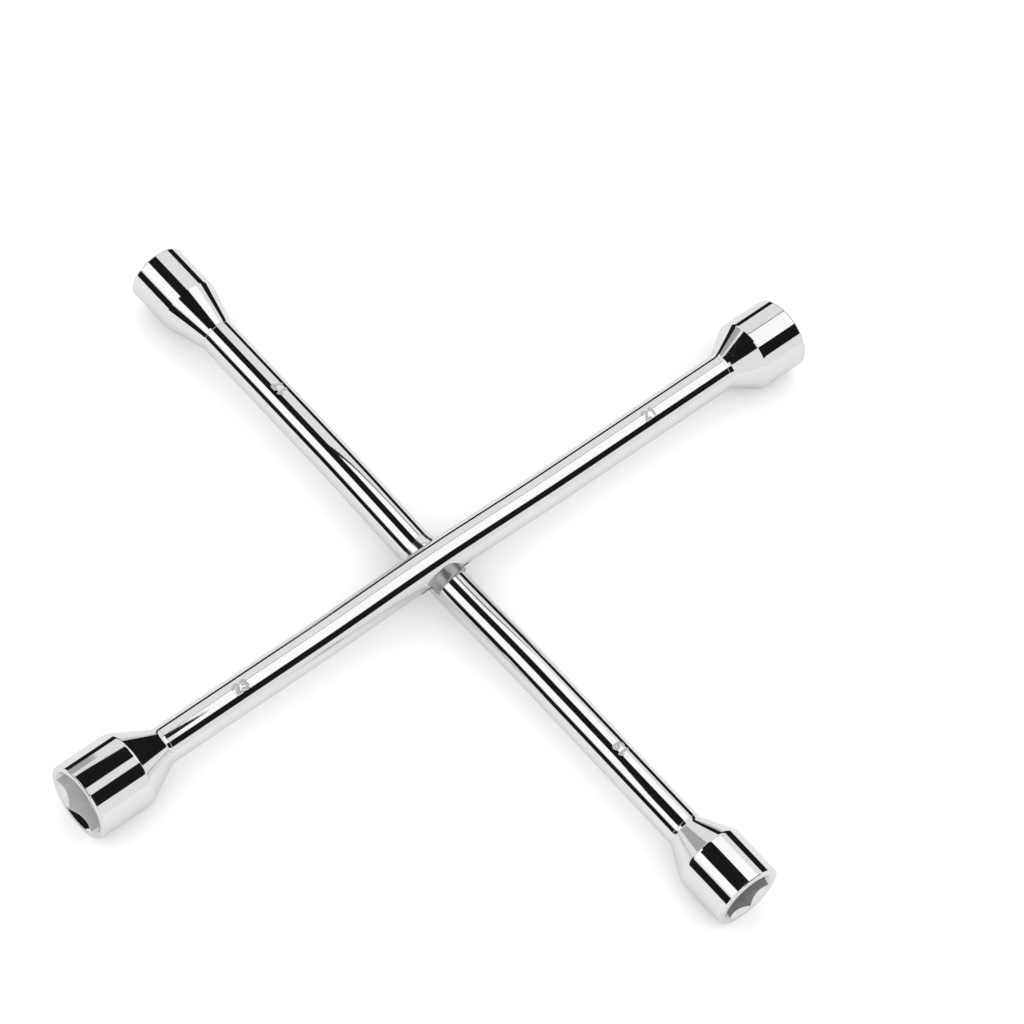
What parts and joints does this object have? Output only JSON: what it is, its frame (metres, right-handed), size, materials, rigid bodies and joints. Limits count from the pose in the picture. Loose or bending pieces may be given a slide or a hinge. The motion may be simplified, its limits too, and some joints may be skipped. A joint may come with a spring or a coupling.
{
  "type": "lug wrench",
  "caption": "Four-way cross lug wrench: two round chromed bars crossed in a welded half lap, with a hex socket of a different size on each end.",
  "frame": {"origin": "middle of the overall length of both bars, on the plane of the four sockets' axes, which is the bounding box's centre; the bars cross 5 mm to -X and 5 mm to +Y of it", "axes": "+X along the long bar towards the 21 mm socket, +Y along the cross bar towards the 17 mm socket, +Z out of the cross on the side where the long bar lies on top"},
  "size_m": [0.356, 0.356, 0.0316],
  "materials": {
    "chrome_bars": "mirror-polished chrome plate",
    "chrome_sockets": "mirror-polished chrome plate outside, satin plate inside the hex",
    "dressed_weld": "weld fillet dressed smooth, then polished and chrome plated",
    "dull_weld": "plated over, unpolished, satin grey"
  },
  "bodies": {
    "root": {"long_bar": "chrome_bars", "cross_bar": "chrome_bars", "socket_17": "chrome_sockets", "socket_19": "chrome_sockets", "socket_21": "chrome_sockets", "socket_23": "chrome_sockets", "weld_on_17_side": "dressed_weld", "weld_on_19_side": "dull_weld", "weld_on_21_side": "dull_weld", "weld_on_23_side": "dull_weld"}
  },
  "joints": []
}
